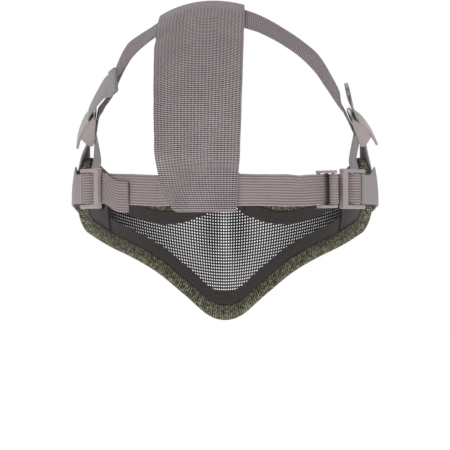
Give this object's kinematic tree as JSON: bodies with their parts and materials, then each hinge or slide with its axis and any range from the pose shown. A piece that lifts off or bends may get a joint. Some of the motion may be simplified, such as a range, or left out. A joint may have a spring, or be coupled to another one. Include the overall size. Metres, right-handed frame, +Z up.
{
  "type": "half-face mask",
  "caption": "Half-face mask of perforated steel mesh with a rolled edge trim, carried by webbing straps with frame buckles, ladder locks and a wide strap over the back of the head.",
  "frame": {"origin": "the middle of the wearer's head, between the ears, level with the strap at the nape; this is the head mount", "axes": "+Z up the wearer's head, -Y the way the wearer faces, +X to the wearer's left"},
  "size_m": [0.2104, 0.2242, 0.2164],
  "materials": {
    "black_steel": "black coated perforated steel",
    "rivet_metal": "blackened rivet",
    "olive_trim": "mottled olive edging",
    "lining": "dark soft lining",
    "webbing": "grey woven webbing",
    "elastic": "grey ribbed elastic",
    "plastic": "grey moulded plastic"
  },
  "bodies": {
    "mask": {"steel_mesh": "black_steel", "edge_trim": "olive_trim", "lining_upper": "lining", "lining_lower": "lining", "nose_pad": "lining", "crown_strap": "webbing", "nape_elastic": "elastic", "wing_pad_left": "lining", "wing_pad_right": "lining", "cheek_tab_left": "webbing", "cheek_tab_right": "webbing", "upper_tab_left": "webbing", "upper_tab_right": "webbing", "rivet_front_left": "rivet_metal", "rivet_front_right": "rivet_metal", "rivet_rear_left": "rivet_metal", "rivet_rear_right": "rivet_metal", "washer_front_left": "rivet_metal", "washer_front_right": "rivet_metal", "washer_rear_left": "rivet_metal", "washer_rear_right": "rivet_metal", "crown_lead_left": "webbing", "crown_lead_right": "webbing", "nape_loop_left": "elastic", "nape_loop_right": "elastic"},
    "panel": {"back_panel": "webbing"},
    "lock_left": {"upper_lock_left": "plastic", "crown_tail_left": "webbing"},
    "lock_right": {"upper_lock_right": "plastic", "crown_tail_right": "webbing"},
    "buckle_left": {"lower_buckle_left": "plastic"},
    "buckle_right": {"lower_buckle_right": "plastic"},
    "slider": {"slider_right": "plastic", "slider_band": "elastic"}
  },
  "joints": [
    {"name": "lock_tilt_left", "type": "hinge", "parent": "mask", "child": "lock_left", "pos_m": [0.0915, -0.006, 0.038], "axis": [-0.0596, 0.9109, -0.4083], "range_deg": [0, 20], "deforming": ["crown_lead_left"]},
    {"name": "lock_tilt_right", "type": "hinge", "parent": "mask", "child": "lock_right", "pos_m": [-0.0925, -0.006, 0.038], "axis": [0.0689, -0.9019, 0.4265], "range_deg": [0, 20], "deforming": ["crown_lead_right"]},
    {"name": "buckle_swing_left", "type": "hinge", "parent": "mask", "child": "buckle_left", "pos_m": [0.096, 0.0085, 0.0024], "axis": [0, 0, -1], "range_deg": [-5, 15], "deforming": ["nape_loop_left"]},
    {"name": "buckle_swing_right", "type": "hinge", "parent": "mask", "child": "buckle_right", "pos_m": [-0.0928, 0.0105, 0.0022], "axis": [0, 0, 1], "range_deg": [-5, 15], "deforming": ["nape_loop_right"]},
    {"name": "slider_slide_right", "type": "slide", "parent": "mask", "child": "slider", "axis": [0.5572, 0.8288, -0.0504], "range_m": [0, 0.015], "deforming": ["nape_loop_right"]},
    {"name": "panel_shift", "type": "hinge", "parent": "mask", "child": "panel", "pos_m": [0.00472, 0.02806, -0.013], "axis": [-0.058, -0.2081, 0.9764], "range_deg": [-3, 3]}
  ]
}
